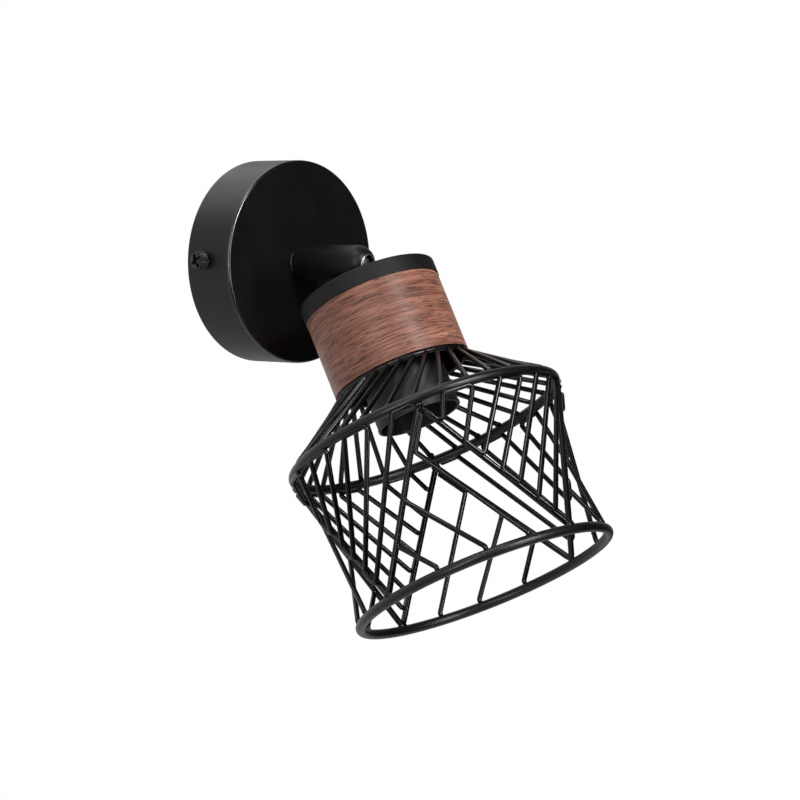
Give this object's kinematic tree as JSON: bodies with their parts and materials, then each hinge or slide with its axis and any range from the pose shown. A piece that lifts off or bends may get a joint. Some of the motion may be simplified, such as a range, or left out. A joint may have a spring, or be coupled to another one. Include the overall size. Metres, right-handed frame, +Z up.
{
  "type": "wall spotlight",
  "caption": "Adjustable wall spotlight with a round canopy, a short arm, a wood-clad head and an open wire cage shade.",
  "frame": {"origin": "centre of the bracket's back face, which lies on the wall", "axes": "+Y into the wall, -Y out along the arm, +Z up, +X to the right as seen from the room"},
  "size_m": [0.1382, 0.2031, 0.2304],
  "materials": {
    "black_metal": "satin black powder coat",
    "zinc_steel": "zinc plated, dull",
    "brass": "plain brass",
    "nickel_shell": "nickel plated",
    "walnut": "walnut veneer, matt lacquer",
    "black_plastic": "satin black",
    "insulator": "moulded, black",
    "white_nylon": "natural nylon",
    "earth_insulation": "green and yellow",
    "live_insulation": "brown",
    "neutral_insulation": "blue",
    "lead_insulation": "heat resistant, white",
    "cable_sheath": "black"
  },
  "bodies": {
    "wall": {"canopy": "black_metal", "wall_bracket": "zinc_steel", "canopy_screws": "black_metal", "earth_washer": "zinc_steel", "earth_screw": "brass", "terminal_block": "white_nylon", "terminal_sleeves": "brass", "terminal_screws": "zinc_steel", "block_screw": "zinc_steel", "earth_lead": "earth_insulation", "live_lead": "live_insulation", "neutral_lead": "neutral_insulation", "stop_rivet": "zinc_steel", "outer_swivel_washer": "white_nylon", "inner_swivel_washer": "white_nylon"},
    "arm": {"stop_plate": "zinc_steel", "lock_nut": "zinc_steel", "arm_nipple": "zinc_steel", "arm_plug": "zinc_steel", "arm_tube": "black_metal", "joint_seat": "white_nylon", "disc_springs": "zinc_steel", "spacer_tube": "zinc_steel", "arm_cable": "cable_sheath"},
    "head": {"knuckle": "black_metal", "head_cap": "black_metal", "collar_sleeve": "black_metal", "wood_veneer": "walnut", "head_lock_washer": "zinc_steel", "head_nut": "zinc_steel", "holder_cap": "black_plastic", "holder_skirt": "black_plastic", "holder_insert": "insulator", "screw_shell": "nickel_shell", "centre_contact": "brass", "holder_screws": "zinc_steel", "head_leads": "lead_insulation", "cage_top_ring": "black_metal", "cage_middle_ring": "black_metal", "cage_bottom_ring": "black_metal", "cage_upper_wires": "black_metal", "cage_legs": "black_metal", "cage_panel_wires": "black_metal", "cage_lower_wires": "black_metal"}
  },
  "joints": [
    {"name": "arm_swivel", "type": "hinge", "parent": "wall", "child": "arm", "pos_m": [0, 0, 0], "axis": [0, 1, 0], "range_deg": [-160, 160]},
    {"name": "head_tilt", "type": "hinge", "parent": "arm", "child": "head", "pos_m": [0, -0.0665, 0], "axis": [1, 0, 0], "range_deg": [-57, 23]}
  ]
}
